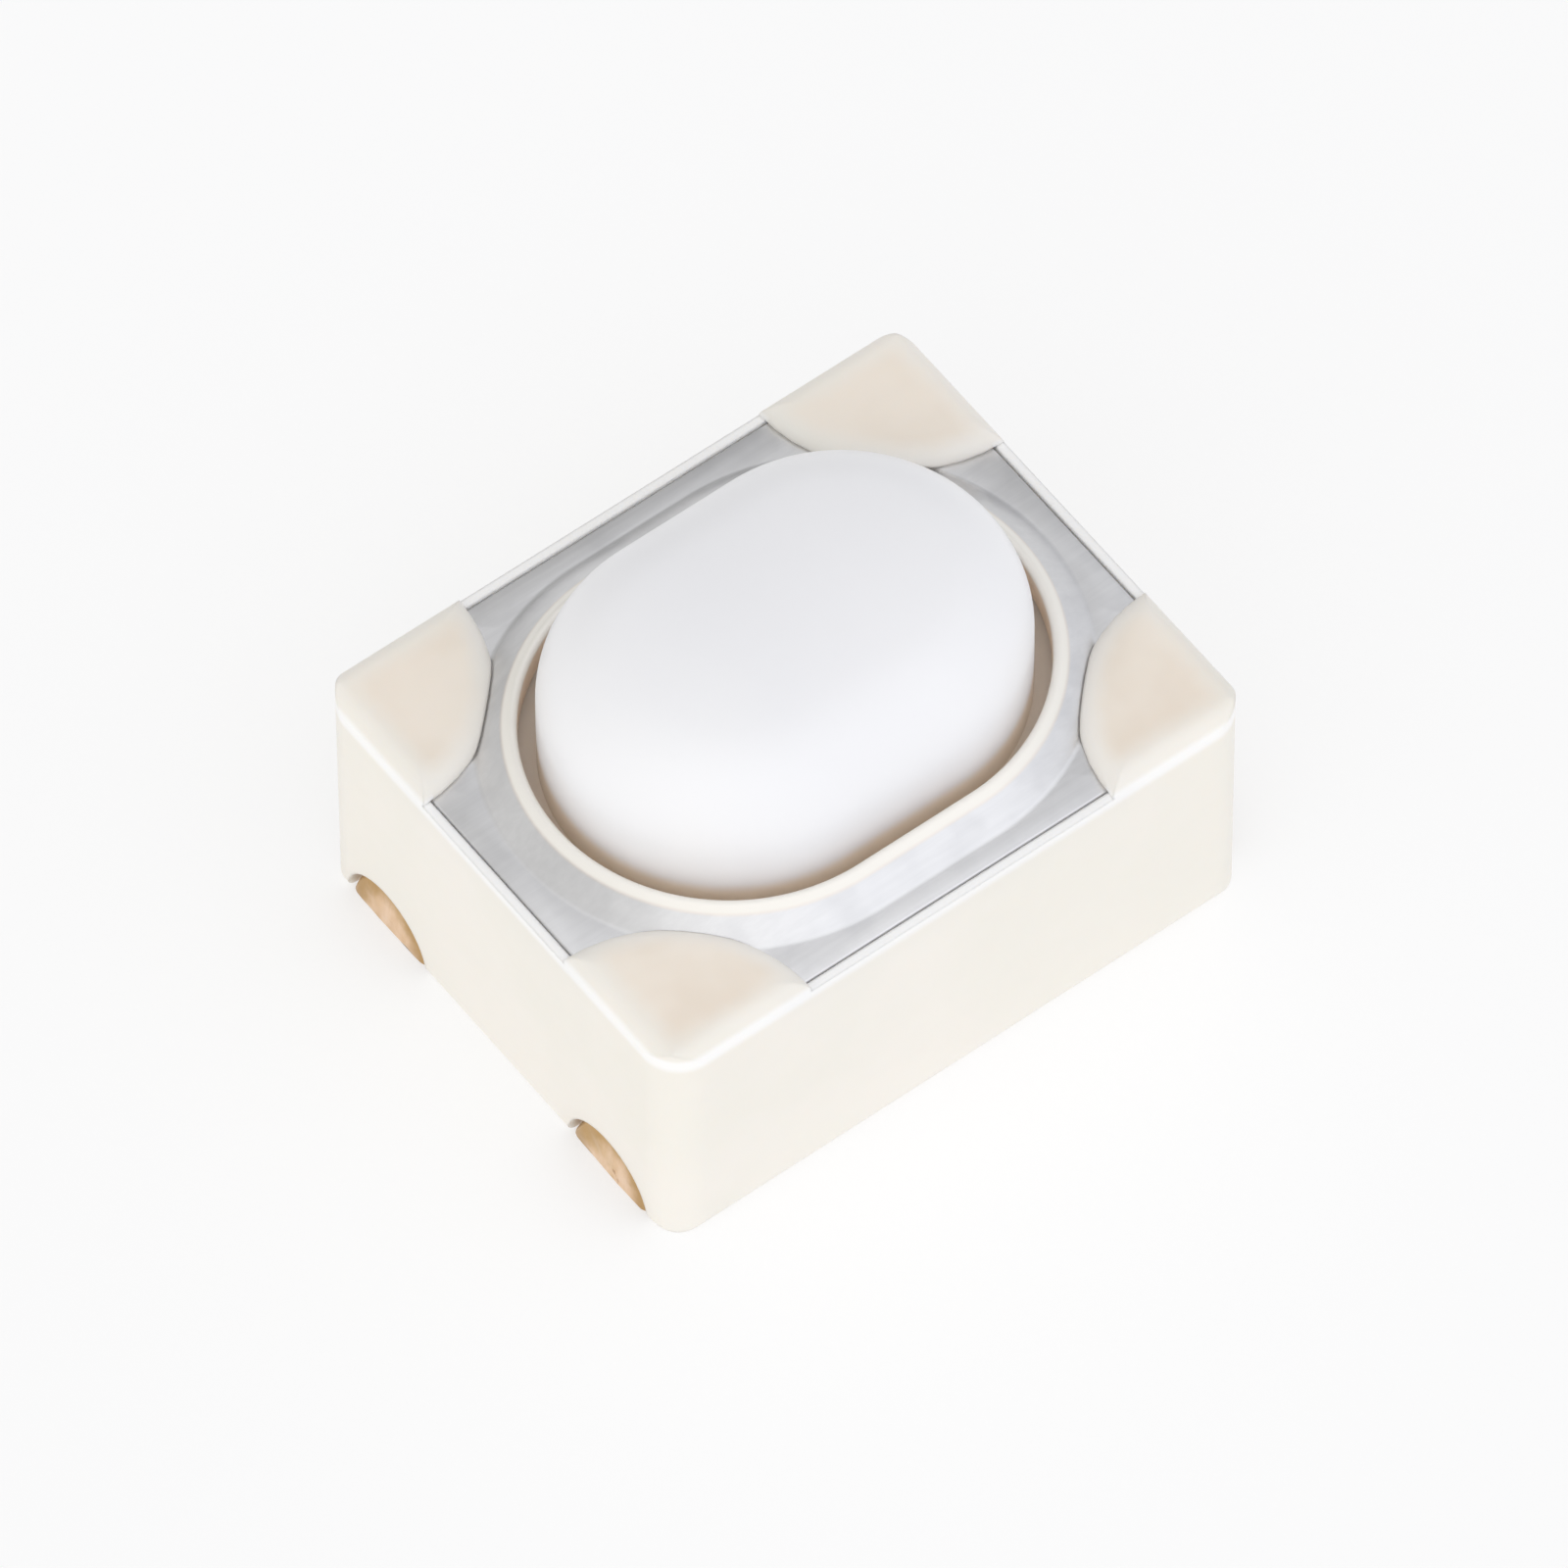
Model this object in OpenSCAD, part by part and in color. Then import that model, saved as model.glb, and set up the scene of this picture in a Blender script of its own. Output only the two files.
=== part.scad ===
// Surface-mount tactile push switch with a tall oval button.
// Frame: millimetres, Z up, origin at the middle of the solder face.
// X runs along the long side, Y along the short side.

/* [Housing] */
// Length of the moulded housing
body_len = 3.55; // [3.4:0.05:4.2]
// Width of the moulded housing
body_wid = 2.85; // [2.75:0.05:3.4]
// Height of the walls that carry the cover
wall_top = 1.38; // [1.3:0.01:1.7]
// Radius of the four upright corners
corner_r = 0.22; // [0.12:0.01:0.3]
// Radius along the top outer edges of the staked posts
edge_r = 0.1; // [0.05:0.01:0.12]
// Radius along the bottom outer edges
foot_r = 0.06; // [0.02:0.01:0.08]
// Width of the lip that stands round the cover
lip_w = 0.05; // [0.03:0.01:0.08]
// Thickness of the floor under the snap dome
floor_t = 0.38; // [0.36:0.01:0.45]
// Depth of the round pocket that centres the snap dome
pocket_d = 0.1; // [0.08:0.01:0.14]
// Depth of the stand-off relief in the solder face
relief_d = 0.04; // [0.02:0.01:0.06]

/* [Staked posts] */
// Radius of a post where it passes the cover, from the housing corner
post_r = 0.72; // [0.6:0.01:0.74]
// How far a staked head spreads over the cover
head_lap = 0.14; // [0.08:0.01:0.15]
// Thickness of a staked head above the cover
head_t = 0.09; // [0.07:0.01:0.14]
// Width of the soft rounding where a head runs out over the cover
head_round = 0.16; // [0.1:0.01:0.2]

/* [Cover] */
// Sheet thickness of the cover
cover_t = 0.1; // [0.08:0.01:0.14]
// Height of the drawn collar above the cover
rim_rise = 0.13; // [0.1:0.01:0.25]
// Wall of the drawn collar at its rim
rim_wall = 0.06; // [0.04:0.01:0.07]
// Width of the slope between the collar and the flat of the cover
flare_w = 0.17; // [0.12:0.01:0.18]
// Inside bend radius under the collar
bend_r = 0.06; // [0.03:0.01:0.08]
// Radius between the slope and the flat
fillet_r = 0.05; // [0.03:0.01:0.07]

/* [Button] */
// Length of the button where it passes the collar
btn_len = 2.56; // [2.4:0.02:2.6]
// Width of the button where it passes the collar
btn_wid = 1.88; // [1.7:0.02:1.9]
// Height of the button's crown above the solder face
btn_top = 2.35; // [2.2:0.05:2.8]
// Radius of the button's soft shoulder
shoulder_r = 0.5; // [0.3:0.02:0.6]
// Radius of the crown across the short side
crown_r = 3; // [2:0.1:6]
// Step of the flange that holds the button under the cover
flange_step = 0.15; // [0.13:0.01:0.16]
// Thickness of the flange
flange_t = 0.28; // [0.2:0.01:0.34]
// Radius of the nub that presses the snap dome
nub_r = 0.35; // [0.25:0.01:0.5]

/* [Snap dome and film] */
// Diameter of the snap dome
dome_d = 2; // [1.8:0.02:2.02]
// Free height of the snap dome
dome_h = 0.27; // [0.24:0.01:0.28]
// Sheet thickness of the snap dome
dome_t = 0.05; // [0.04:0.005:0.06]
// Thickness of the insulating film
film_t = 0.04; // [0.03:0.005:0.05]

/* [Contacts] */
// Distance between the two terminals of one end
term_pitch = 1.8; // [1.7:0.05:1.95]
// Width of a terminal
term_wid = 0.46; // [0.3:0.02:0.5]
// Sheet thickness of the contact strips
strip_t = 0.13; // [0.1:0.01:0.14]
// Length of a solder pad under the housing
pad_len = 0.5; // [0.4:0.02:0.6]
// Height of the buried rails above the solder face
rail_z = 0.1; // [0.08:0.01:0.12]
// Width of the buried rails
rail_wid = 0.24; // [0.2:0.01:0.3]
// Radius of the fixed contact under the middle of the dome
centre_r = 0.26; // [0.2:0.01:0.3]
// Radius of the arched notch round each terminal
arch_r = 0.32; // [0.3:0.01:0.36]
// Depth of the arched notch
arch_d = 0.1; // [0.06:0.01:0.12]
// Radius of the two mould-pin holes in the solder face
pin_r = 0.13; // [0.1:0.01:0.16]

/* [Clearances] */
// Running gap between the button and the collar
btn_gap = 0.09; // [0.07:0.01:0.1]
// Running gap between the flange and the housing
slide_gap = 0.04; // [0.03:0.01:0.05]
// Gap between a post and its notch in the cover
post_gap = 0.02; // [0.01:0.005:0.04]
// Gap round the snap dome in its pocket
dome_gap = 0.04; // [0.02:0.01:0.05]
// Gap between pieces that only just meet
touch_gap = 0.01; // [0.005:0.005:0.02]

/* [Hidden] */
// Facets of a full circle for large, hidden and small rounds
fine = 72;
disc = 48;
small = 32;
// Steps of a quarter round in a profile
q = 8;
// Small overlap that makes cuts run through
eps = 0.02;
half_len = body_len / 2;
half_wid = body_wid / 2;
// The cut ends of the terminals stay inside the notches of the end walls
end_x = half_len - arch_d + 2 * touch_gap;
// Every oval shares the straight run of the button's sides
straight = btn_len - btn_wid;
btn_half = btn_wid / 2;
hole_half = btn_half + btn_gap;
flange_half = btn_half + flange_step;
cavity_half = flange_half + slide_gap;
film_half = cavity_half - slide_gap / 2;
// Heights, from the solder face up
ledge_z = floor_t + pocket_d;
cover_top = wall_top + cover_t;
head_top = cover_top + head_t;
head_r = post_r + head_lap;
cover_inset = lip_w + touch_gap;
rim_top = cover_top + rim_rise;
foot = hole_half + rim_wall + flare_w;
// The slope of the collar touches the round of the rim and the fillet at its foot
rim_x = hole_half + rim_wall / 2;
rim_z = rim_top - rim_wall / 2;
fillet_z = cover_top + fillet_r;
slope_a = atan2(foot - rim_x, fillet_z - rim_z)
    - acos((fillet_r + rim_wall / 2) / norm([foot - rim_x, fillet_z - rim_z]));
dome_top = floor_t + dome_h;
film_top = dome_top + touch_gap + film_t;
nub_z = film_top + touch_gap;
flange_top = wall_top - touch_gap;
flange_z = flange_top - flange_t;
pocket_r = dome_d / 2 + dome_gap;
cover_len = body_len - 2 * cover_inset;
cover_wid = body_wid - 2 * cover_inset;
notch_r = post_r + post_gap;
term_y = term_pitch / 2;
rail_top = rail_z + strip_t;
// Centre of the shoulder round, so that it runs smoothly into the crown
shoulder_x = btn_half - shoulder_r;
shoulder_z = btn_top - crown_r + sqrt(pow(crown_r - shoulder_r, 2) - pow(shoulder_x, 2));
crown_a = atan2(shoulder_z - btn_top + crown_r, shoulder_x);

// Points along an elliptical arc
function arc(cx, cy, rx, ry, a0, a1, n = q) =
    [for (i = [0:n]) let (a = a0 + (a1 - a0) * i / n) [cx + rx * cos(a), cy + ry * sin(a)]];

// Points of a shallow cap from its rim radius to the axis
function cap(r, z, rise, n = 12) =
    [for (i = [0:n]) let (u = 1 - i / n) [r * u, z + rise * (1 - u * u)]];

// The same cap run the other way, for the upper face of a sheet
function lifted_cap(r, z, rise, n = 12) =
    [for (i = [n:-1:0]) let (u = 1 - i / n) [r * u, z + rise * (1 - u * u)]];

// Turns a half profile into an oval solid with a straight middle
module oval_solid(run) {
    for (a = [0, 180])
        rotate([0, 0, a])
            translate([run / 2, 0, 0])
                rotate([0, 0, -90])
                    rotate_extrude(angle = 180, $fn = fine) children();
    for (a = [0, 180])
        rotate([0, 0, a])
            translate([-run / 2, 0, 0])
                rotate([90, 0, 90])
                    linear_extrude(run) children();
}

// Flat oval with round ends
module oval_prism(half, z0, z1) {
    translate([0, 0, z0])
        linear_extrude(z1 - z0) {
            square([straight, 2 * half], center = true);
            for (s = [-1, 1])
                translate([s * straight / 2, 0]) circle(r = half, $fn = fine);
        }
}

// Rectangle with round corners
module round_rect(len, wid, r) {
    square([len - 2 * r, wid], center = true);
    square([len, wid - 2 * r], center = true);
    for (x = [-1, 1], y = [-1, 1])
        translate([x * (len / 2 - r), y * (wid / 2 - r)]) circle(r = r, $fn = small);
}

// Upright section of the housing with round top and bottom corners
module edge_rounded(wid, h, r, low) {
    polygon(concat(
        arc(-wid / 2 + low, low, low, low, 180, 270, 4),
        arc(wid / 2 - low, low, low, low, 270, 360, 4),
        arc(wid / 2 - r, h - r, r, r, 0, 90),
        arc(-wid / 2 + r, h - r, r, r, 90, 180)
    ));
}

// Everything of the housing lies inside this block
module outer_block() {
    intersection() {
        linear_extrude(head_top) round_rect(body_len, body_wid, corner_r);
        translate([0, half_wid + eps, 0])
            rotate([90, 0, 0])
                linear_extrude(body_wid + 2 * eps) edge_rounded(body_len, head_top, edge_r, foot_r);
        translate([-half_len - eps, 0, 0])
            rotate([90, 0, 90])
                linear_extrude(body_len + 2 * eps) edge_rounded(body_wid, head_top, edge_r, foot_r);
    }
}

// One post with its staked head, centred on a housing corner
module post() {
    rotate_extrude($fn = fine)
        polygon(concat(
            [[0, wall_top - eps], [post_r, wall_top - eps], [post_r, cover_top]],
            [[head_r - touch_gap, cover_top]],
            arc(head_r - head_round, cover_top + touch_gap, head_round, head_t - touch_gap, 0, 90),
            [[0, head_top]]
        ));
}

// Room of the collar and the button, which no post and no lip enters
module collar_room() {
    top_r = rim_wall / 2 + touch_gap;
    oval_solid(straight)
        polygon(concat(
            [[0, wall_top - 2 * eps], [foot + eps + touch_gap, wall_top - 2 * eps]],
            [[foot + eps + touch_gap, cover_top]],
            arc(foot, fillet_z, fillet_r - touch_gap, fillet_r - touch_gap, 270, 270 - slope_a, 4),
            [[rim_x + top_r * sin(slope_a), rim_z + top_r * cos(slope_a)]],
            [[rim_x + top_r * sin(slope_a), head_top + rim_rise], [0, head_top + rim_rise]]
        ));
}

// Lip round the edge of the cover
module lip() {
    translate([0, 0, wall_top - eps])
        linear_extrude(cover_t + eps)
            difference() {
                square([body_len + 4 * eps, body_wid + 4 * eps], center = true);
                round_rect(body_len - 2 * lip_w, body_wid - 2 * lip_w, corner_r - lip_w);
            }
}

// Arched notch round a terminal in an end wall
module arch(side) {
    translate([side * half_len, 0, 0])
        rotate([0, 90, 0])
            cylinder(r = arch_r, h = 2 * arch_d, center = true, $fn = small);
}

// A strip with both terminals of one contact, grown by g for its pocket
module contact_strip(g = 0) {
    // Buried rail
    translate([-end_x + pad_len - strip_t, term_y - rail_wid / 2 - g, rail_z - g])
        cube([2 * (end_x - pad_len + strip_t), rail_wid + 2 * g, strip_t + 2 * g]);
    for (s = [-1, 1])
        translate([s * (end_x - pad_len / 2), term_y, 0]) {
            // Solder pad and cut end
            translate([-pad_len / 2 - (g > 0 ? g : 0), -term_wid / 2 - g, -(g > 0 ? eps : 0)])
                cube([pad_len + 2 * g, term_wid + 2 * g, strip_t + g + (g > 0 ? eps : 0)]);
            // Joggle up to the rail
            translate([-s * (pad_len / 2 - strip_t / 2) - strip_t / 2 - g, -rail_wid / 2 - g, 0])
                cube([strip_t + 2 * g, rail_wid + 2 * g, rail_top + g]);
        }
}

// Tongue to the fixed contact in the middle
module centre_tongue(g = 0) {
    translate([-rail_wid / 2 - g, -term_y, rail_z - g])
        cube([rail_wid + 2 * g, term_y, strip_t + 2 * g]);
    translate([0, 0, rail_z - g])
        cylinder(r = centre_r + g, h = floor_t - rail_z + g + (g > 0 ? eps : 0), $fn = small);
}

// Two arms to the pads under the rim of the dome
module outer_arms(g = 0) {
    seat_w = 0.24;
    for (s = [-1, 1]) {
        translate([s * (dome_d / 2 - seat_w / 2 + touch_gap) - seat_w / 2 - g, -seat_w, rail_z - g])
            cube([seat_w + 2 * g, term_y + seat_w, strip_t + 2 * g]);
        translate([s * (dome_d / 2 - seat_w / 2 + touch_gap) - seat_w / 2 - g, -seat_w - g, rail_z - g])
            cube([seat_w + 2 * g, 2 * seat_w + 2 * g, floor_t - rail_z + g + (g > 0 ? eps : 0)]);
    }
}

module centre_metal(g = 0) {
    mirror([0, 1, 0]) contact_strip(g);
    centre_tongue(g);
}

module outer_metal(g = 0) {
    contact_strip(g);
    outer_arms(g);
}

module housing() {
    color("ivory")
    difference() {
        intersection() {
            outer_block();
            union() {
                translate([0, 0, -eps])
                    linear_extrude(wall_top + eps)
                        square([body_len + 4 * eps, body_wid + 4 * eps], center = true);
                difference() {
                    union() {
                        lip();
                        for (x = [-1, 1], y = [-1, 1])
                            translate([x * half_len, y * half_wid, 0]) post();
                    }
                    collar_room();
                }
            }
        }
        // Cavity and dome pocket
        oval_prism(cavity_half, ledge_z, wall_top + eps);
        translate([0, 0, floor_t])
            cylinder(r = pocket_r, h = pocket_d + eps, $fn = fine);
        // Contacts moulded into the floor
        centre_metal(touch_gap);
        outer_metal(touch_gap);
        for (x = [-1, 1], y = [-1, 1])
            translate([0, y * term_y, 0]) arch(x);
        // Stand-off relief and mould-pin holes in the solder face
        translate([0, 0, -eps])
            linear_extrude(relief_d + eps)
                round_rect(2 * (end_x - pad_len) - 0.3, term_pitch - term_wid - 0.3, 0.15);
        for (y = [-1, 1])
            translate([0, y * term_y, -eps])
                cylinder(r = pin_r, h = rail_z + eps, $fn = small);
    }
}

// Half profile of the drawn collar, from its opening out to the flat
module collar_profile() {
    polygon(concat(
        arc(hole_half + bend_r, wall_top + bend_r, bend_r, bend_r, 180, 270, 4),
        [[foot + eps, wall_top], [foot + eps, cover_top]],
        arc(foot, fillet_z, fillet_r, fillet_r, 270, 270 - slope_a, 4),
        arc(rim_x, rim_z, rim_wall / 2, rim_wall / 2, 90 - slope_a, 180, 6)
    ));
}

module cover_plate() {
    color("silver")
    union() {
        difference() {
            translate([0, 0, wall_top])
                linear_extrude(cover_t) round_rect(cover_len, cover_wid, corner_r - cover_inset);
            oval_prism(foot, wall_top - eps, cover_top + eps);
            for (x = [-1, 1], y = [-1, 1])
                translate([x * half_len, y * half_wid, wall_top - eps])
                    cylinder(r = notch_r, h = cover_t + 2 * eps, $fn = fine);
        }
        oval_solid(straight) collar_profile();
    }
}

// Half section of the button from the axis to its side
module button_profile() {
    polygon(concat(
        [[0, flange_z], [flange_half, flange_z], [flange_half, flange_top], [btn_half, flange_top]],
        arc(shoulder_x, shoulder_z, shoulder_r, shoulder_r, 0, crown_a, 14),
        arc(0, btn_top - crown_r, crown_r, crown_r, crown_a, 90, 6)
    ));
}

module button() {
    color("white")
    union() {
        oval_solid(straight) button_profile();
        translate([0, 0, nub_z])
            cylinder(r = nub_r, h = flange_z - nub_z + eps, $fn = small);
    }
}

module cover_film() {
    bump_r = dome_d / 2;
    rise = film_top - film_t - ledge_z;
    color("goldenrod")
    union() {
        difference() {
            oval_prism(film_half, ledge_z, ledge_z + film_t);
            translate([0, 0, ledge_z - eps])
                cylinder(r = bump_r, h = film_t + 2 * eps, $fn = disc);
        }
        rotate_extrude($fn = disc)
            polygon(concat(
                [[bump_r + eps, ledge_z]],
                cap(bump_r, ledge_z, rise),
                lifted_cap(bump_r, ledge_z + film_t, rise),
                [[bump_r + eps, ledge_z + film_t]]
            ));
    }
}

module snap_dome() {
    rise = dome_h - dome_t;
    color("lightsteelblue")
        rotate_extrude($fn = disc)
            polygon(concat(
                cap(dome_d / 2, floor_t, rise),
                lifted_cap(dome_d / 2, floor_t + dome_t, rise)
            ));
}

module centre_contact() {
    color("peru") centre_metal();
}

module outer_contact() {
    color("peru") outer_metal();
}

housing();
cover_plate();
button();
cover_film();
snap_dome();
centre_contact();
outer_contact();
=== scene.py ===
import bmesh
import bpy
import math
import random
from mathutils import Matrix, Vector


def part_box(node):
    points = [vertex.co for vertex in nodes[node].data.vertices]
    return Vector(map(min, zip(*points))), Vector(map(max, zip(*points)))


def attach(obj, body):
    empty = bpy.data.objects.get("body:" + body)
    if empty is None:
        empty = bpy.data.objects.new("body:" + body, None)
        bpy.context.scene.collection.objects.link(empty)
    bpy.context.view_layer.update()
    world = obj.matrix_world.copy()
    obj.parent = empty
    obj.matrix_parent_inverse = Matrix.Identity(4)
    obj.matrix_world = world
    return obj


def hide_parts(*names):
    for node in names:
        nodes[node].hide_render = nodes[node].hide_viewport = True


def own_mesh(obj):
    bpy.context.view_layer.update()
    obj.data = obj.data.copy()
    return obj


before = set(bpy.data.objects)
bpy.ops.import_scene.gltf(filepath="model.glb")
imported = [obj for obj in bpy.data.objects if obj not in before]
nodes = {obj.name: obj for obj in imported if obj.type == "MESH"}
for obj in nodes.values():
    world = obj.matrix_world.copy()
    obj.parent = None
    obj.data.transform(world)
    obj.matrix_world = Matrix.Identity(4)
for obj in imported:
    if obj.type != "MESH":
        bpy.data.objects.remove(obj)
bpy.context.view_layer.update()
scene = bpy.context.scene
MM = 0.001


def lowest(name):
    """The lowest corner of a node at rest, in millimetres."""
    return [round(v / MM, 6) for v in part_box(name)[0]]


def highest(name):
    """The highest corner of a node at rest, in millimetres."""
    return [round(v / MM, 6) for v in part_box(name)[1]]


# Sizes that the frame gives, in millimetres

# End face, side face and top of the housing
BODY_X, BODY_Y, HEAD_TOP = highest("housing")
# End and underside of the cover
COVER_X = highest("cover_plate")[0]
COVER_LOW = lowest("cover_plate")[2]
# Half the flange's width, the crown and the underside of the nub
FLANGE_R = highest("button")[1]
BTN_TOP = highest("button")[2]
NUB_LOW = lowest("button")[2]
# Seats of the dome and the film
DOME_SEAT = lowest("snap_dome")[2]
FILM_SEAT = lowest("cover_film")[2]
# Cut end of a terminal
END_X = highest("outer_contact")[0]

# The part's other sizes, in millimetres

# Sheet of the cover and its rounded outer edges, a staked post and its head, and the
# cover's clearance round a post
SHEET = 0.10
SHEET_EDGE = 0.012
POST_R = 0.72
HEAD_R = 0.86
POST_GAP = 0.02
# Collar: clearance round the button, height, wall, slope, inner bend and outer fillet
GAP = 0.09
RIM = 0.13
RIM_WALL = 0.06
FLARE = 0.17
BEND = 0.06
FILLET = 0.05
# Button: its plan, the radii of its shoulder and crown, its flange, its nub and the gap
# that it leaves under the cover
BTN_L = 2.56
BTN_W = 1.88
SHOULDER = 0.5
CROWN = 3.0
FLANGE_T = 0.28
FLANGE_EDGE = 0.01
NUB_R = 0.35
NUB_EDGE = 0.02
TOUCH_GAP = 0.01
# Terminals: distance of each from the middle, and its arched notch in the end wall
TERM_Y = 0.9
ARCH_R = 0.32

INSET = BODY_X - COVER_X
COVER_TOP = COVER_LOW + SHEET
RIM_TOP = COVER_TOP + RIM
RUN = BTN_L - BTN_W
BTN_R = BTN_W / 2
HOLE = BTN_R + GAP
FOOT = HOLE + RIM_WALL + FLARE
FLANGE_TOP = COVER_LOW - TOUCH_GAP
FLANGE_LOW = FLANGE_TOP - FLANGE_T

# Camera: its direction in degrees, and its lens and sensor in millimetres
AZIMUTH = 36.9
ELEVATION = 56.2
ROLL = -0.3
LENS = 540
SENSOR = 36
# Pixels along a side of the picture, and pixels for a metre of the part
PICTURE = 1600
PX = 208.8 / MM
# It aims so many pixels to the left of a point on the part's axis and above it, and that
# point is so many millimetres up
AIM_LEFT = 1.8
AIM_UP = 7.3
AIM_Z = 0.6895


def add_camera():
    turn = math.radians(AZIMUTH)
    tilt = math.radians(ELEVATION)
    roll = math.radians(ROLL)
    level = Vector((math.cos(turn), -math.sin(turn), 0))
    forward = Vector((math.sin(turn) * math.cos(tilt), math.cos(turn) * math.cos(tilt), -math.sin(tilt)))
    above = level.cross(forward)
    right = level * math.cos(roll) + above * math.sin(roll)
    up = above * math.cos(roll) - level * math.sin(roll)
    target = Vector((0, 0, AIM_Z * MM)) - right * (AIM_LEFT / PX) + up * (AIM_UP / PX)
    distance = LENS / SENSOR * PICTURE / PX
    data = bpy.data.cameras.new("camera")
    data.sensor_width = SENSOR
    data.lens = LENS
    data.clip_start = 0.002
    data.clip_end = 5
    camera = bpy.data.objects.new("camera", data)
    scene.collection.objects.link(camera)
    rotation = Matrix((right, up, -forward)).transposed()
    camera.matrix_world = Matrix.Translation(target - forward * distance) @ rotation.to_4x4()
    scene.camera = camera


add_camera()

# Node trees


class Net:
    """A short way to write the node tree of a material or a world."""

    def __init__(self, owner):
        owner.use_nodes = True
        self.tree = owner.node_tree

    def add(self, kind, **attrs):
        node = self.tree.nodes.new(kind)
        for key, value in attrs.items():
            setattr(node, key, value)
        return node

    def put(self, socket, value):
        """Links a socket to another one, or gives it a value. A colour's alpha may be left out."""
        if isinstance(value, bpy.types.NodeSocket):
            self.tree.links.new(value, socket)
        elif socket.type == "RGBA" and len(value) == 3:
            socket.default_value = (*value, 1.0)
        else:
            socket.default_value = value

    def math(self, op, a, b=None):
        node = self.add("ShaderNodeMath", operation=op)
        self.put(node.inputs[0], a)
        if b is not None:
            self.put(node.inputs[1], b)
        return node.outputs[0]

    def plus(self, a, b):
        return self.math("ADD", a, b)

    def minus(self, a, b):
        return self.math("SUBTRACT", a, b)

    def times(self, a, b):
        return self.math("MULTIPLY", a, b)

    def absolute(self, a):
        return self.math("ABSOLUTE", a)

    def hypot(self, a, b):
        return self.math("SQRT", self.plus(self.times(a, a), self.times(b, b)))

    def ramp(self, value, start, end, low=0.0, high=1.0):
        """Goes smoothly from low at start to high at end."""
        node = self.add("ShaderNodeMapRange", interpolation_type="SMOOTHSTEP")
        self.put(node.inputs["Value"], value)
        node.inputs["From Min"].default_value = start
        node.inputs["From Max"].default_value = end
        node.inputs["To Min"].default_value = low
        node.inputs["To Max"].default_value = high
        return node.outputs["Result"]

    def mix(self, fac, a, b):
        """Mixes two colours, which are the sockets 6 and 7 of its node."""
        node = self.add("ShaderNodeMix", data_type="RGBA")
        self.put(node.inputs["Factor"], fac)
        self.put(node.inputs[6], a)
        self.put(node.inputs[7], b)
        return node.outputs[2]


class Paint(Net):
    """The node tree of a new material, which knows where on the part a point is."""

    def __init__(self, name):
        self.mat = bpy.data.materials.new(name)
        super().__init__(self.mat)
        self.bsdf = self.tree.nodes["Principled BSDF"]
        self.pos = self.add("ShaderNodeTexCoord").outputs["Object"]

    def set(self, **inputs):
        for key, value in inputs.items():
            self.put(self.bsdf.inputs[key.replace("_", " ")], value)
        return self.mat

    def xyz(self):
        split = self.add("ShaderNodeSeparateXYZ")
        self.put(split.inputs[0], self.pos)
        return split.outputs

    def scaled(self, sx, sy, sz, turn=0.0):
        """The position stretched along each axis, and turned about Z by so many degrees."""
        mapping = self.add("ShaderNodeMapping")
        mapping.inputs["Scale"].default_value = (sx, sy, sz)
        mapping.inputs["Rotation"].default_value = (0, 0, math.radians(turn))
        self.put(mapping.inputs["Vector"], self.pos)
        return mapping.outputs["Vector"]

    def noise(self, scale, detail, rough, vec=None):
        noise = self.add("ShaderNodeTexNoise")
        self.put(noise.inputs["Vector"], vec or self.pos)
        noise.inputs["Scale"].default_value = scale
        noise.inputs["Detail"].default_value = detail
        noise.inputs["Roughness"].default_value = rough
        return noise.outputs["Fac"]

    def fade(self, length, start, end, low=0.0, high=1.0):
        """A ramp between two lengths in millimetres."""
        return self.ramp(length, start * MM, end * MM, low, high)

    def stray(self, length, noise, width):
        """A length moved to and fro by a noise, over a width in millimetres."""
        return self.plus(length, self.times(self.minus(noise, 0.5), width * MM))

    def bump(self, height, distance, strength, normal=None):
        """Relief of a depth in millimetres."""
        node = self.add("ShaderNodeBump")
        node.inputs["Distance"].default_value = distance * MM
        node.inputs["Strength"].default_value = strength
        self.put(node.inputs["Height"], height)
        if normal is not None:
            self.put(node.inputs["Normal"], normal)
        return node.outputs[0]

    def soft_edges(self, radius):
        """Normals that round each edge by a radius in millimetres."""
        node = self.add("ShaderNodeBevel", samples=6)
        node.inputs["Radius"].default_value = radius * MM
        return node.outputs[0]


def srgb(r, g, b):
    """The linear colour of three 8-bit values."""
    return tuple(((c / 255 + 0.055) / 1.055) ** 2.4 for c in (r, g, b))


# Materials


def from_terminal(n, y, z):
    """Distance from the middle of the nearest terminal's foot, seen along X."""
    return n.hypot(n.minus(n.absolute(y), TERM_Y * MM), z)


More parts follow.
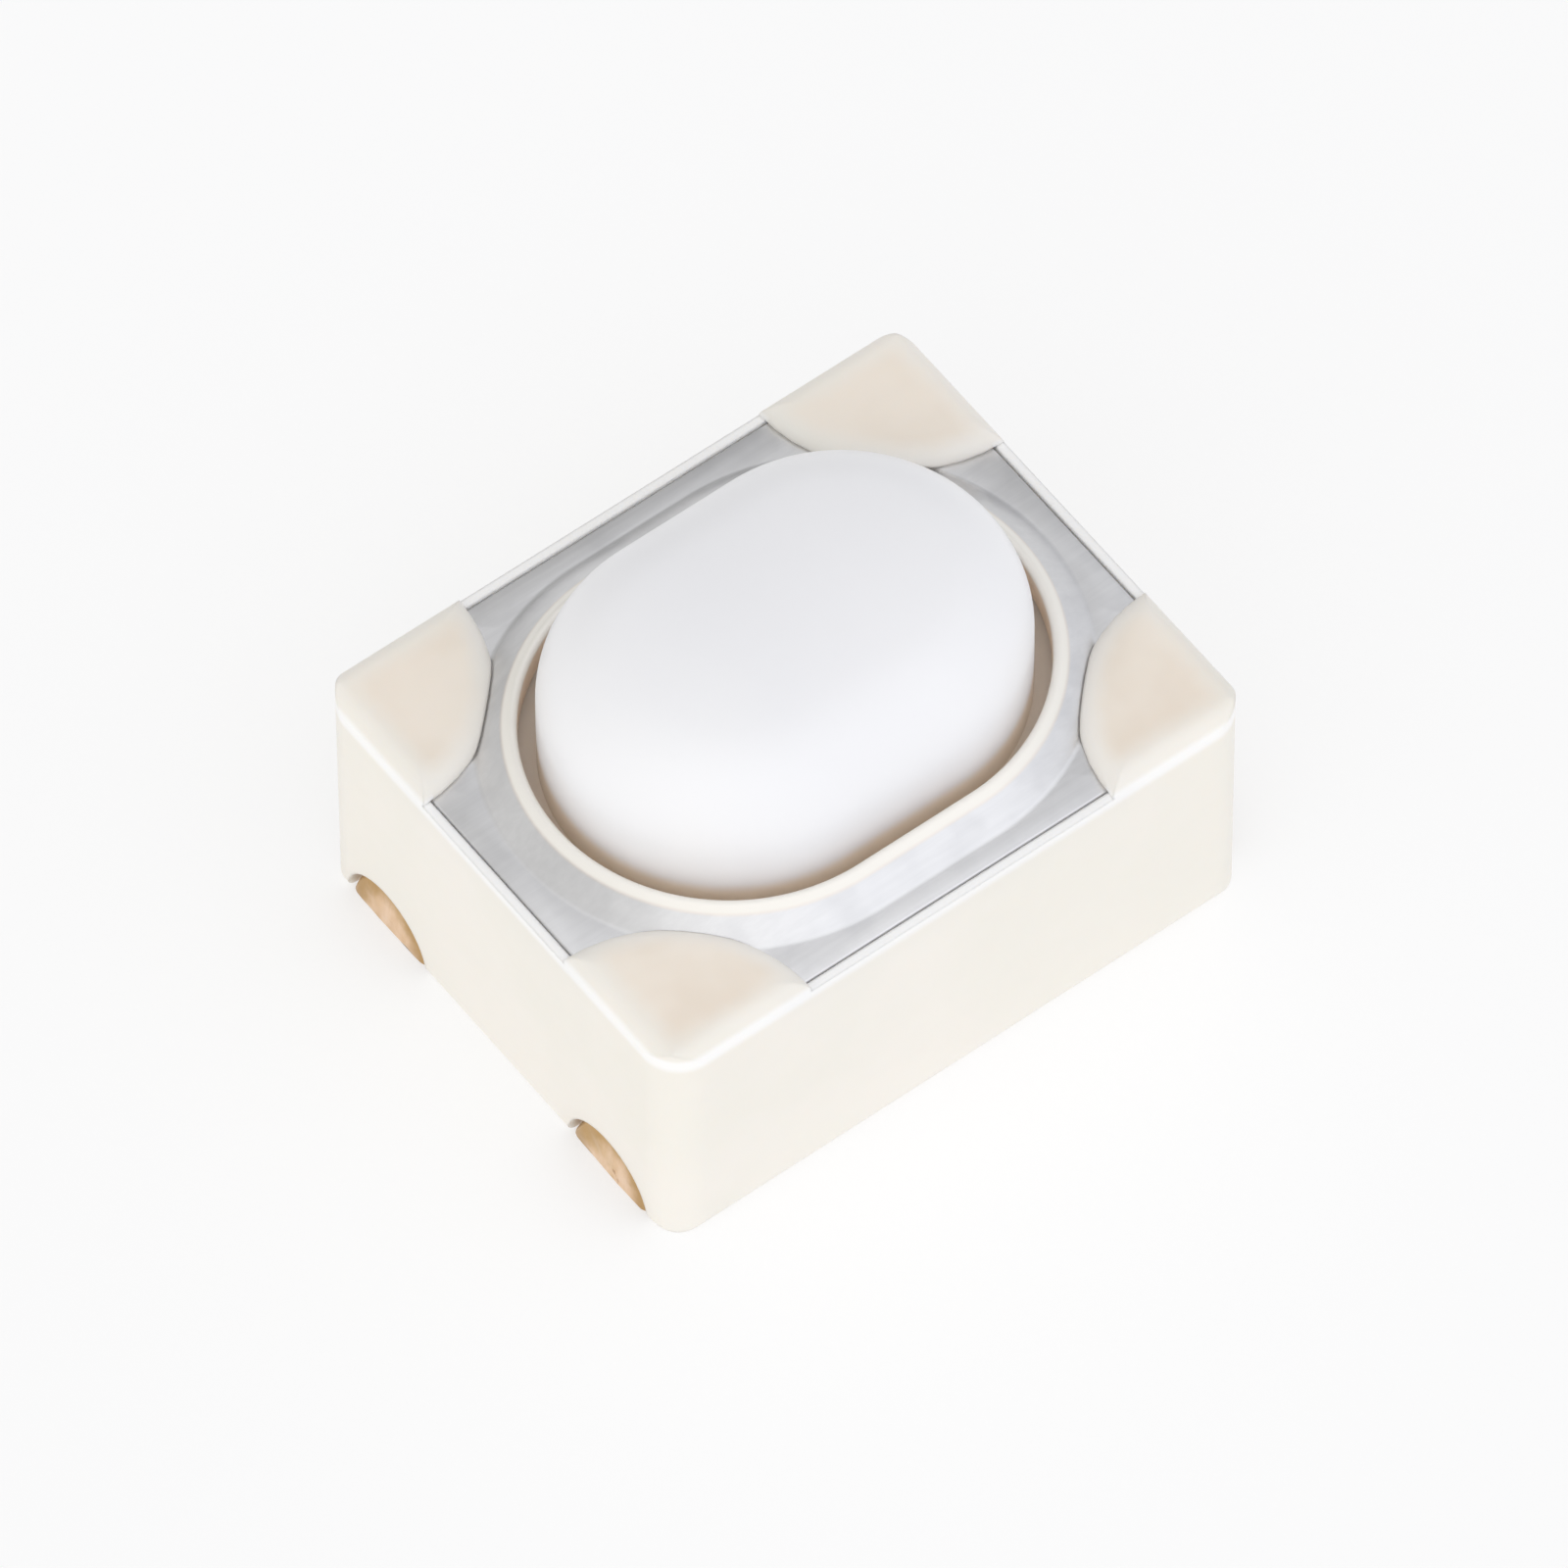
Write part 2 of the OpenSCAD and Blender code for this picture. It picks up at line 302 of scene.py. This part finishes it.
def housing_material():
    n = Paint("cream_moulding")
    x, y, z = n.xyz()
    broad = n.noise(900, 3, 0.55)
    fine = n.noise(9000, 4, 0.6)
    col = n.mix(n.ramp(broad, 0.35, 0.65), srgb(246, 241, 233), srgb(243, 239, 230))
    # Painted highlight: the lip beside the cover is painted near white, for the bright line along it
    side_x = n.minus(BODY_X * MM, n.absolute(x))
    side_y = n.minus(BODY_Y * MM, n.absolute(y))
    beside = n.fade(n.math("MINIMUM", side_x, side_y), INSET + 0.015, INSET + 0.002)
    level = n.times(n.fade(z, COVER_TOP - 0.08, COVER_TOP - 0.02),
                    n.fade(z, COVER_TOP + 0.05, COVER_TOP + 0.01))
    col = n.mix(n.times(beside, level), col, srgb(254, 253, 251))
    # The staked heads turn tan in their middle and stay cream along their edges: partly their own
    # tan tone, partly painted shade on the flat tops and painted light along the rounded edges
    ragged = n.noise(2200, 3, 0.6)
    from_rim = n.minus(HEAD_R * MM, n.hypot(side_x, side_y))
    middle = n.times(n.fade(n.stray(side_x, ragged, 0.1), 0.03, 0.20),
                     n.fade(n.stray(side_y, ragged, 0.1), 0.03, 0.20))
    middle = n.times(middle, n.fade(n.stray(from_rim, ragged, 0.1), 0.03, 0.16))
    high = n.fade(z, HEAD_TOP - 0.07, HEAD_TOP - 0.025)
    tan = n.mix(n.ramp(n.noise(1300, 3, 0.6), 0.35, 0.7), srgb(246, 236, 223), srgb(239, 227, 212))
    col = n.mix(n.times(middle, high), col, tan)
    # Painted shadow, golden brown, inside the arches of the end walls, and a trace of it on the walls round
    # them
    near = n.fade(n.stray(from_terminal(n, y, z), broad, 0.2), ARCH_R + 0.10, ARCH_R - 0.12)
    end_wall = n.fade(side_x, 0.12, 0.105)
    inside = n.fade(side_x, 0.007, 0.075)
    shade = n.times(n.times(near, end_wall), n.plus(n.times(inside, 0.9), 0.1))
    col = n.mix(shade, col, srgb(205, 165, 116))
    grain = n.plus(n.times(broad, 0.6), n.times(fine, 0.4))
    return n.set(Base_Color=col, Roughness=n.ramp(fine, 0.3, 0.7, 0.42, 0.56),
                 Normal=n.bump(grain, 0.006, 0.5, n.soft_edges(0.025)),
                 Specular_IOR_Level=0.35, Subsurface_Weight=0.12, Subsurface_Scale=0.25 * MM,
                 Subsurface_Radius=(1.0, 0.8, 0.6))


def steel_material():
    n = Paint("satin_steel")
    x, y, z = n.xyz()
    grain = n.noise(1000, 5, 0.65, n.scaled(1.2, 26, 26, 8))
    fine = n.noise(1000, 4, 0.7, n.scaled(3, 60, 60, -14))
    mottle = n.noise(4200, 2, 0.5)
    broad = n.noise(700, 3, 0.6)
    col = n.mix(n.ramp(grain, 0.3, 0.7), srgb(230, 230, 231), srgb(236, 236, 237))
    col = n.mix(n.ramp(mottle, 0.40, 0.72, 0, 0.35), col, srgb(208, 208, 210))
    col = n.mix(n.ramp(broad, 0.4, 0.7, 0, 0.25), col, srgb(214, 214, 216))
    # Painted light: the drawn rim is painted pale and mostly not metallic for its bright line, and the
    # wall inside it a warm pale that lightens the shade of the gap round the button
    past_run = n.math("MAXIMUM", n.minus(n.absolute(x), RUN / 2 * MM), 0.0)
    inner = n.fade(n.hypot(past_run, y), HOLE + 0.016, HOLE + 0.008)
    rim = n.fade(z, RIM_TOP - 0.038, RIM_TOP - 0.02)
    rim_painted_light = n.math("MAXIMUM", rim, inner)
    col = n.mix(rim_painted_light, col, n.mix(rim, srgb(246, 228, 208), srgb(248, 245, 238)))
    rough = n.plus(n.ramp(grain, 0.3, 0.7, 0.30, 0.36), n.times(broad, 0.06))
    brushed = n.plus(n.times(grain, 0.6), n.times(fine, 0.4))
    return n.set(Base_Color=col, Metallic=n.ramp(rim_painted_light, 0.0, 1.0, 1.0, 0.25), Roughness=rough,
                 Normal=n.bump(brushed, 0.0025, 0.4))


def button_material():
    n = Paint("white_button")
    z = n.xyz()[2]
    broad = n.noise(650, 2, 0.5)
    fine = n.noise(14000, 3, 0.6)
    col = n.mix(n.ramp(broad, 0.35, 0.65), srgb(244, 244, 247), srgb(246, 246, 249))
    # Painted shade: warm below the rim, where the collar shades the button
    col = n.mix(n.fade(z, RIM_TOP - 0.01, RIM_TOP - 0.11, 0.0, 0.8), col, srgb(252, 236, 218))
    return n.set(Base_Color=col, Roughness=n.ramp(fine, 0.3, 0.7, 0.30, 0.38),
                 Normal=n.bump(fine, 0.0015, 0.3), Specular_IOR_Level=0.5,
                 Subsurface_Weight=0.45, Subsurface_Scale=0.5 * MM, Subsurface_Radius=(1.0, 1.0, 1.0))


def film_material():
    n = Paint("amber_film")
    cloudy = n.noise(2500, 3, 0.5)
    col = n.mix(n.ramp(cloudy, 0.35, 0.65), srgb(206, 140, 52), srgb(190, 124, 44))
    return n.set(Base_Color=col, Roughness=0.3, Normal=n.bump(cloudy, 0.002, 0.4))


def dome_material():
    n = Paint("spring_steel")
    cloudy = n.noise(4000, 4, 0.6)
    col = n.mix(n.ramp(cloudy, 0.35, 0.65), srgb(205, 205, 208), srgb(188, 188, 192))
    return n.set(Base_Color=col, Metallic=1.0, Roughness=n.ramp(cloudy, 0.3, 0.7, 0.2, 0.32))


def contact_material():
    """Tinned strip, with bare copper at its cut ends."""
    n = Paint("plated_copper")
    x, y, z = n.xyz()
    fine = n.noise(5000, 4, 0.6)
    blots = n.noise(3600, 4, 0.65)
    burr = n.noise(1000, 4, 0.6, n.scaled(1, 22, 5))
    tin = n.mix(n.ramp(fine, 0.35, 0.65), srgb(214, 212, 206), srgb(196, 194, 189))
    copper = n.mix(n.ramp(burr, 0.3, 0.7), srgb(244, 216, 188), srgb(234, 202, 166))
    copper = n.mix(n.ramp(blots, 0.40, 0.66, 0, 0.8), copper, srgb(216, 184, 138))
    # Painted shadow: golden brown towards the arch's edge, where the arch shades the cut end
    away = n.stray(from_terminal(n, y, z), blots, 0.12)
    copper = n.mix(n.fade(away, ARCH_R - 0.19, ARCH_R - 0.06, 0, 0.9), copper, srgb(190, 154, 102))
    cut = n.fade(n.absolute(x), END_X - 0.009, END_X - 0.003)
    return n.set(Base_Color=n.mix(cut, tin, copper), Metallic=1.0,
                 Roughness=n.ramp(fine, 0.3, 0.7, 0.3, 0.45), Normal=n.bump(burr, 0.004, 0.5))


def floor_material():
    """Matt and a little luminous from above, clear from below."""
    n = Paint("pale_floor")
    broad = n.noise(60, 2, 0.5)
    clear = n.add("ShaderNodeMixShader")
    n.put(clear.inputs[0], n.add("ShaderNodeNewGeometry").outputs["Backfacing"])
    n.put(clear.inputs[1], n.bsdf.outputs[0])
    n.put(clear.inputs[2], n.add("ShaderNodeBsdfTransparent").outputs[0])
    n.put(n.tree.nodes["Material Output"].inputs["Surface"], clear.outputs[0])
    return n.set(Base_Color=n.mix(broad, srgb(171, 171, 171), srgb(174, 174, 174)), Roughness=0.9,
                 Emission_Color=(1.0, 1.0, 1.0), Emission_Strength=0.575)


plastic = housing_material()
steel = steel_material()
white = button_material()
metal = contact_material()
node_materials = {"housing": plastic, "cover_plate": steel, "button": white, "cover_film": film_material(),
                  "snap_dome": dome_material(), "centre_contact": metal, "outer_contact": metal}
for name, obj in nodes.items():
    obj.data.materials.clear()
    obj.data.materials.append(node_materials[name])

# Mesh helpers, with the steps of a half circle in the large ovals
OVAL_STEPS = 96


def arc(cx, cy, r, start, end, steps):
    """Points along an arc, with its angles in degrees."""
    angles = [math.radians(start + (end - start) * i / steps) for i in range(steps + 1)]
    return [(cx + r * math.cos(a), cy + r * math.sin(a)) for a in angles]


def oval(r, run, steps):
    """Points round an oval, two half circles with a straight run between them."""
    return arc(run / 2, 0, r, -90, 90, steps) + arc(-run / 2, 0, r, 90, 270, steps)


def add_mesh(name, bm, sharp=35):
    """Makes an object of a mesh. Edges that turn by more degrees than sharp stay sharp."""
    mesh = bpy.data.meshes.new(name)
    bm.to_mesh(mesh)
    bm.free()
    mesh.shade_smooth()
    mesh.set_sharp_from_angle(angle=math.radians(sharp))
    obj = bpy.data.objects.new(name, mesh)
    scene.collection.objects.link(obj)
    return obj


def oval_sweep(name, run, section, closed, steps=OVAL_STEPS):
    """Takes a section of (radius, height) points, in millimetres, round an oval."""
    bm = bmesh.new()
    rings = []
    for r, z in section:
        rings.append([bm.verts.new((x * MM, y * MM, z * MM)) for x, y in oval(r, run, steps)])
    pairs = list(zip(rings, rings[1:]))
    if closed:
        pairs.append((rings[-1], rings[0]))
    for a, b in pairs:
        for k in range(len(a)):
            after = (k + 1) % len(a)
            bm.faces.new((a[k], a[after], b[after], b[k]))
    bmesh.ops.remove_doubles(bm, verts=bm.verts, dist=1e-9)
    bmesh.ops.dissolve_degenerate(bm, edges=bm.edges, dist=1e-9)
    bmesh.ops.recalc_face_normals(bm, faces=bm.faces)
    return add_mesh(name, bm)


# Button: its flange, side, soft shoulder and crown, and its nub


def button_section():
    side_x = BTN_R - SHOULDER
    side_z = BTN_TOP - CROWN + math.sqrt((CROWN - SHOULDER) ** 2 - side_x ** 2)
    meet = math.degrees(math.atan2(side_z - BTN_TOP + CROWN, side_x))
    points = [(0, FLANGE_LOW), (FLANGE_R - FLANGE_EDGE, FLANGE_LOW), (FLANGE_R, FLANGE_LOW + FLANGE_EDGE)]
    points += [(FLANGE_R, FLANGE_TOP - FLANGE_EDGE), (FLANGE_R - FLANGE_EDGE, FLANGE_TOP)]
    points += [(BTN_R, FLANGE_TOP + (side_z - FLANGE_TOP) * i / 4) for i in range(4)]
    points += arc(side_x, side_z, SHOULDER, 0, meet, 36)
    points += arc(0, BTN_TOP - CROWN, CROWN, meet, 90, 12)[1:]
    return points


def nub_section():
    root = FLANGE_LOW + FLANGE_EDGE
    return [(0, NUB_LOW), (NUB_R - NUB_EDGE, NUB_LOW), (NUB_R, NUB_LOW + NUB_EDGE), (NUB_R, root), (0, root)]


button_shape = oval_sweep("button_shape", RUN, button_section(), False)
button_nub = oval_sweep("button_nub", 0.0, nub_section(), False, 24)
for piece in (button_shape, button_nub):
    piece.data.materials.append(white)
    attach(piece, "plunger")
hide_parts("button")

# Cover: a sheared sheet with notched corners, and its drawn collar


def cover_outline():
    """Outer edge of the sheet, round the four post notches."""
    notch = POST_R + POST_GAP
    # A notch is an arc round a corner of the housing, between the two straight edges it cuts
    start = math.degrees(math.asin(INSET / notch))
    points = []
    for qx, qy in ((1, 1), (-1, 1), (-1, -1), (1, -1)):
        ring = [(qx * (BODY_X - y), qy * (BODY_Y - x)) for x, y in arc(0, 0, notch, start, 90 - start, 24)]
        points += ring if qx * qy > 0 else ring[::-1]
    return points


def is_outer_edge(edge):
    """Whether an edge of the sheet is sharp and level, and clear of the oval hole."""
    if len(edge.link_faces) != 2:
        return False
    a, b = [vert.co / MM for vert in edge.verts]
    one, two = edge.link_faces
    middle = (a + b) / 2
    clear = math.hypot(max(abs(middle.x) - RUN / 2, 0), middle.y) >= FOOT + 0.02
    sharp = one.normal.dot(two.normal) < 0.3
    level = abs(a.z - b.z) < 1e-4
    return clear and sharp and level


def sheet():
    """The flat of the cover, with an oval hole where the collar starts."""
    bm = bmesh.new()
    edges = []
    for points in (cover_outline(), oval(FOOT, RUN, OVAL_STEPS)):
        verts = [bm.verts.new((x * MM, y * MM, COVER_TOP * MM)) for x, y in points]
        edges += [bm.edges.new(pair) for pair in zip(verts, verts[1:] + verts[:1])]
    filled = bmesh.ops.triangle_fill(bm, use_beauty=True, use_dissolve=False, edges=edges)
    faces = [item for item in filled["geom"] if isinstance(item, bmesh.types.BMFace)]
    for face in faces:
        if face.normal.z < 0:
            face.normal_flip()
    extruded = bmesh.ops.extrude_face_region(bm, geom=faces)
    for item in extruded["geom"]:
        if isinstance(item, bmesh.types.BMVert):
            item.co.z = COVER_LOW * MM
    bmesh.ops.recalc_face_normals(bm, faces=bm.faces)
    outer = [edge for edge in bm.edges if is_outer_edge(edge)]
    bmesh.ops.bevel(bm, geom=outer, offset=SHEET_EDGE * MM, segments=2, affect="EDGES", profile=0.5,
                    clamp_overlap=True)
    return add_mesh("cover_sheet", bm, 40)


def collar_section():
    """Inner bend, flat foot, fillet and straight slope, then the round rim."""
    rim_r = RIM_WALL / 2
    rim_x = HOLE + rim_r
    rim_z = RIM_TOP - rim_r
    fillet_z = COVER_TOP + FILLET
    reach = math.hypot(FOOT - rim_x, fillet_z - rim_z)
    lean = math.atan2(FOOT - rim_x, fillet_z - rim_z)
    slope = math.degrees(lean - math.acos((FILLET + rim_r) / reach))
    points = arc(HOLE + BEND, COVER_LOW + BEND, BEND, 180, 270, 8)
    points += [(FOOT, COVER_LOW), (FOOT, COVER_TOP)]
    points += arc(FOOT, fillet_z, FILLET, 270, 270 - slope, 10)[1:]
    points += arc(rim_x, rim_z, rim_r, 90 - slope, 180, 12)
    return points


cover_sheet = sheet()
cover_collar = oval_sweep("cover_collar", RUN, collar_section(), True)
for piece in (cover_sheet, cover_collar):
    piece.data.materials.append(steel)
    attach(piece, "base")
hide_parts("cover_plate")

# Sheared copper ends that fill the arched notches, torn a little round their edges

# How far each layer of an end stands out from the strip's own, its radius, and how much of
# the full tear it has
CUT_LAYERS = ((-0.002, 0.285, 0.0), (0.040, 0.290, 0.0), (0.057, 0.284, 0.3), (0.065, 0.262, 1.0),
              (0.068, 0.215, 1.0), (0.067, 0.150, 1.0), (0.069, 0.075, 1.0))
# The widest radius, the height of the flat foot, how far the top leans back, the depth of
# the tear marks, and how much the outline strays
CUT_R = 0.29
CUT_FOOT = 0.006
CUT_LEAN = 0.035
CUT_TEAR = 0.003
CUT_WAVE = 0.02
CUT_STEPS = 40


def cut_end(name, side_x, side_y, seed):
    """A half disc that leans back towards its top, with a wavy outline and a torn face."""
    rnd = random.Random(seed)
    bm = bmesh.new()
    wave = [rnd.uniform(-1, 1) for i in range(4)]
    rings = []
    for out, radius, torn in CUT_LAYERS:
        ring = []
        for i in range(CUT_STEPS + 1):
            a = math.pi * i / CUT_STEPS
            wavy = sum(part * math.sin((2 * k + 3) * a + k) for k, part in enumerate(wave))
            r = radius * (1 + CUT_WAVE * wavy)
            tear = torn * CUT_TEAR * math.sin(9 * a + seed) * rnd.uniform(0.3, 1.0)
            lean = CUT_LEAN * (radius * math.sin(a) / CUT_R) ** 2 if out > 0 else 0.0
            x = side_x * (END_X + out + tear - lean)
            y = side_y * TERM_Y + r * math.cos(a)
            z = CUT_FOOT + r * math.sin(a)
            ring.append(bm.verts.new((x * MM, y * MM, z * MM)))
        rings.append(ring)
    for a, b in zip(rings, rings[1:]):
        for i in range(CUT_STEPS):
            bm.faces.new((a[i], a[i + 1], b[i + 1], b[i]))
        bm.faces.new((a[0], b[0], b[-1], a[-1]))
    bm.faces.new(rings[0])
    bm.faces.new(rings[-1])
    bmesh.ops.recalc_face_normals(bm, faces=bm.faces)
    return add_mesh(name, bm, 50)


# Each end has marks of its own
seed = 11
for strip, side_y in (("centre", -1), ("outer", 1)):
    for number, side_x in enumerate((-1, 1), 1):
        end = cut_end("cut_end_%s_%d" % (strip, number), side_x, side_y, seed)
        end.data.materials.append(metal)
        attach(end, "base")
        seed += 1

# The sprung dome and the film over it give way together as the nub comes down; each stands on its
# seat and keeps a share of its height when the button is down. Here each is only copied, unbent,
# as a piece of its own on the base.
DOME_KEEP = 0.38
FILM_KEEP = 0.12
for name, node, slot, seat, keep in (("dome_shape", "snap_dome", "dome", DOME_SEAT, DOME_KEEP),
                                     ("film_shape", "cover_film", "film", FILM_SEAT, FILM_KEEP)):
    piece = bpy.data.objects.new(name, nodes[node].data.copy())
    scene.collection.objects.link(piece)
    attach(piece, "base")
    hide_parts(node)
    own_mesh(piece)

# Floor: half its width, and how far under the part it lies, in millimetres
FLOOR_HALF = 400
FLOOR_DROP = 0.002


def add_floor():
    bm = bmesh.new()
    bmesh.ops.create_grid(bm, x_segments=1, y_segments=1, size=FLOOR_HALF * MM)
    for vert in bm.verts:
        vert.co.z = -FLOOR_DROP * MM
    floor = add_mesh("floor", bm)
    floor.data.materials.append(floor_material())


add_floor()

# Light: a soft studio all round. Each patch of it has a direction, the angle to which it is
# full and the angle at which it ends, and how much it brightens or dims the studio there.
SKY = 0.86
PATCHES = (
    ((0, 0, 1), 15, 95, 0.95),
    # What the flat of the cover mirrors to the camera
    ((0.334, 0.445, 0.831), 10, 45, 0.92),
    # A greyer back and left, which the slopes of the collar mirror
    ((0.45, 0.88, 0.10), 15, 60, 0.50),
    ((-0.58, 0.46, 0.67), 12, 50, 0.82),
    # A broad bright window over the front
    ((0.02, -0.42, 0.91), 28, 52, 1.42),
)
# Warm all round, and cool towards the right
COOL_SIDE = ((0.75, -0.55, 0.35), 10, 110, 1.0, 0.0)
WARM = (1.0, 0.992, 0.975)
COOL = (0.955, 0.965, 1.0)


def add_world():
    world = bpy.data.worlds.new("studio")
    scene.world = world
    n = Net(world)
    direction = n.add("ShaderNodeTexCoord").outputs["Generated"]

    def patch(centre, full, end, inside, outside=1.0):
        """Goes smoothly from one value round a direction to another outside a cone, in degrees."""
        dot = n.add("ShaderNodeVectorMath", operation="DOT_PRODUCT")
        n.put(dot.inputs[0], direction)
        n.put(dot.inputs[1], Vector(centre).normalized())
        edge = math.cos(math.radians(end))
        core = math.cos(math.radians(full))
        return n.ramp(dot.outputs["Value"], edge, core, outside, inside)

    strength = SKY
    for row in PATCHES:
        strength = n.times(strength, patch(*row))
    background = n.tree.nodes["Background"]
    n.put(background.inputs["Strength"], strength)
    n.put(background.inputs["Color"], n.mix(patch(*COOL_SIDE), WARM, COOL))


# A weak broad lamp low at the front left: its turn, height and width in degrees
FILL_TURN = -72
FILL_HEIGHT = 22
FILL_WIDTH = 70
FILL_STRENGTH = 0.40


def add_fill():
    lamp = bpy.data.lights.new("fill", "SUN")
    lamp.energy = FILL_STRENGTH
    lamp.angle = math.radians(FILL_WIDTH)
    fill = bpy.data.objects.new("fill", lamp)
    scene.collection.objects.link(fill)
    turn = math.radians(FILL_TURN)
    height = math.radians(FILL_HEIGHT)
    flat = math.cos(height)
    towards = Vector((math.sin(turn) * flat, -math.cos(turn) * flat, math.sin(height)))
    fill.rotation_euler = towards.to_track_quat("Z", "Y").to_euler()
    # It only fills the shade of the walls, so the steel doesn't mirror it
    fill.visible_glossy = False


add_world()
add_fill()
scene.view_settings.view_transform = "Standard"
scene.view_settings.look = "None"
